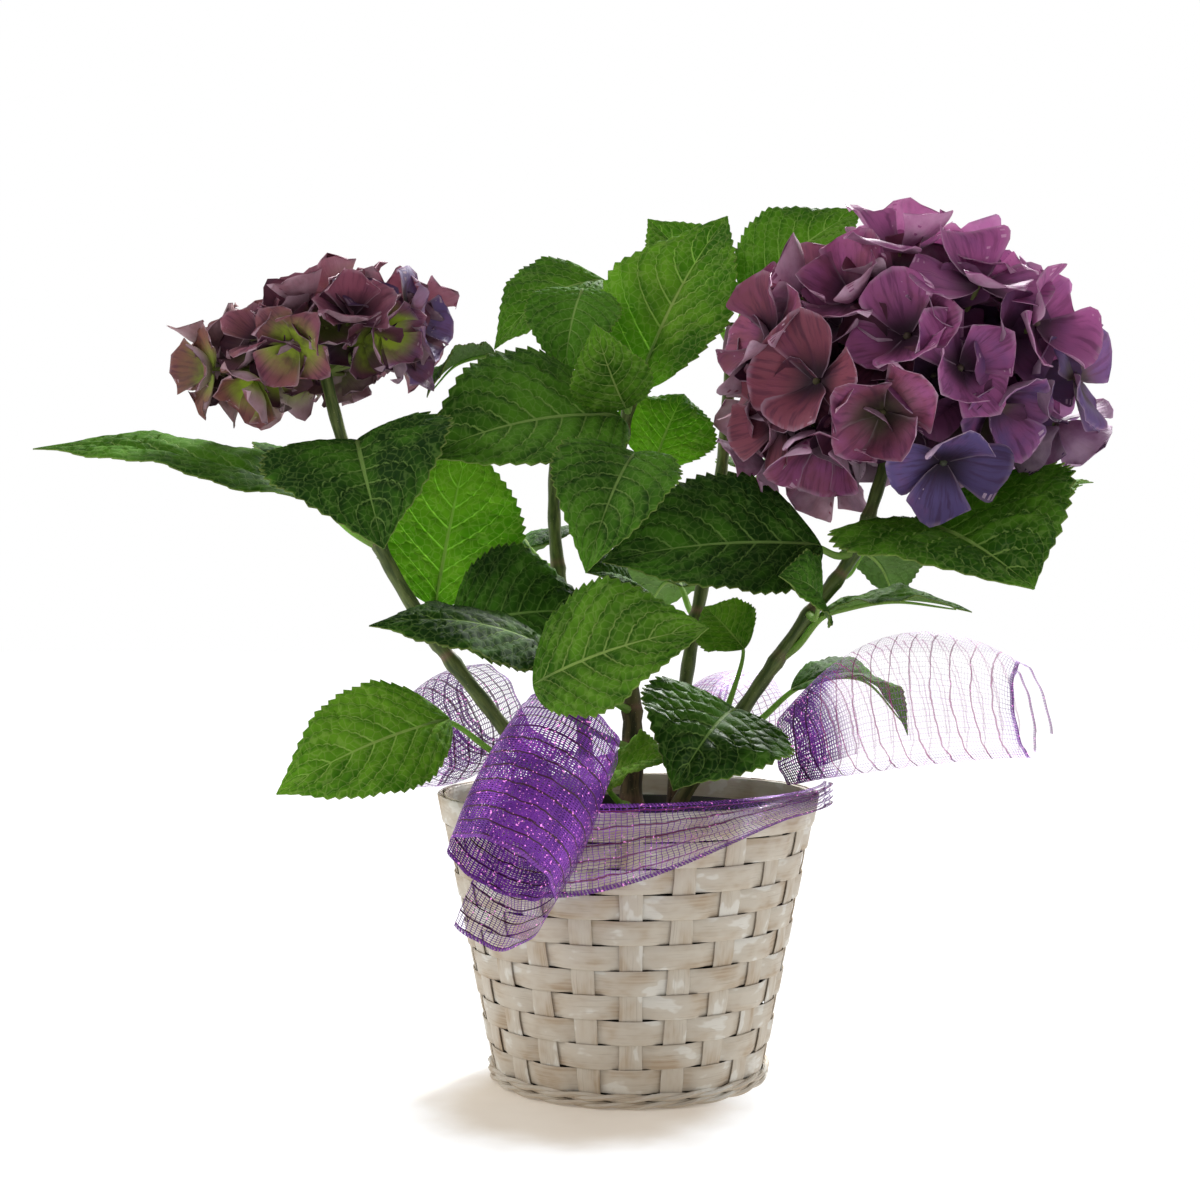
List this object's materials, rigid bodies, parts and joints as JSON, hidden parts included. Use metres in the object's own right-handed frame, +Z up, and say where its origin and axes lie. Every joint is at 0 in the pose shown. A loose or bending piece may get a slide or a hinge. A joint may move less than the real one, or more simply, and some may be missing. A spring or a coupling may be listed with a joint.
{
  "type": "potted hydrangea",
  "caption": "Hydrangea with two mauve mophead flower heads in a whitewashed woven basket, tied with purple metallic mesh ribbon.",
  "frame": {"origin": "centre of the basket's flat underside", "axes": "+Z up; -Y towards the front; +X towards the larger flower head"},
  "size_m": [0.4602, 0.2675, 0.3798],
  "materials": {
    "whitewashed_wood": "thin chipped whitewash over pale wood strip",
    "black_plastic": "matte",
    "soil": "dark, moist and crumbly",
    "cane": "green to brown bark",
    "leaf": "veined and softly glossy",
    "mauve_sepals": "velvety, matte",
    "dusty_sepals": "velvety, matte",
    "mesh_ribbon": "open metallic net with glinting threads"
  },
  "bodies": {
    "root": {"basket_staves": "whitewashed_wood", "weaver_01": "whitewashed_wood", "weaver_02": "whitewashed_wood", "weaver_03": "whitewashed_wood", "weaver_04": "whitewashed_wood", "weaver_05": "whitewashed_wood", "weaver_06": "whitewashed_wood", "weaver_07": "whitewashed_wood", "weaver_08": "whitewashed_wood", "weaver_09": "whitewashed_wood", "weaver_10": "whitewashed_wood", "rim_outer": "whitewashed_wood", "rim_inner": "whitewashed_wood", "foot_hoop": "whitewashed_wood", "grow_pot": "black_plastic", "soil": "soil", "cane_left": "cane", "cane_right": "cane", "cane_middle": "cane", "cane_back_left": "cane", "cane_back_right": "cane", "leaf_far_left": "leaf", "leaf_under_left_head": "leaf", "leaf_left_back": "leaf", "leaf_bright_left": "leaf", "leaf_left_inner": "leaf", "leaf_low_bright": "leaf", "leaf_mid_left": "leaf", "leaf_low_left": "leaf", "leaf_front_centre": "leaf", "leaf_inside": "leaf", "leaf_centre_folded": "leaf", "leaf_centre_small": "leaf", "leaf_behind_bright": "leaf", "leaf_upper_centre": "leaf", "leaf_young": "leaf", "leaf_front_right": "leaf", "leaf_small_light": "leaf", "leaf_small_dark": "leaf", "leaf_right_narrow": "leaf", "leaf_under_right_head": "leaf", "leaf_centre_right": "leaf", "leaf_right_back": "leaf", "leaf_low_right_back": "leaf", "leaf_right_far": "leaf", "leaf_upper_left": "leaf", "leaf_upper_left_front": "leaf", "leaf_edge_left": "leaf", "leaf_back_left": "leaf", "leaf_upper_right": "leaf", "leaf_top_back": "leaf", "leaf_back_centre": "leaf", "leaf_back_right": "leaf", "flower_head_right": "mauve_sepals", "flower_head_left": "dusty_sepals", "ribbon_band": "mesh_ribbon", "ribbon_curl_left": "mesh_ribbon", "ribbon_curl_right": "mesh_ribbon", "ribbon_curl_back_left": "mesh_ribbon", "ribbon_curl_back": "mesh_ribbon"}
  },
  "joints": []
}
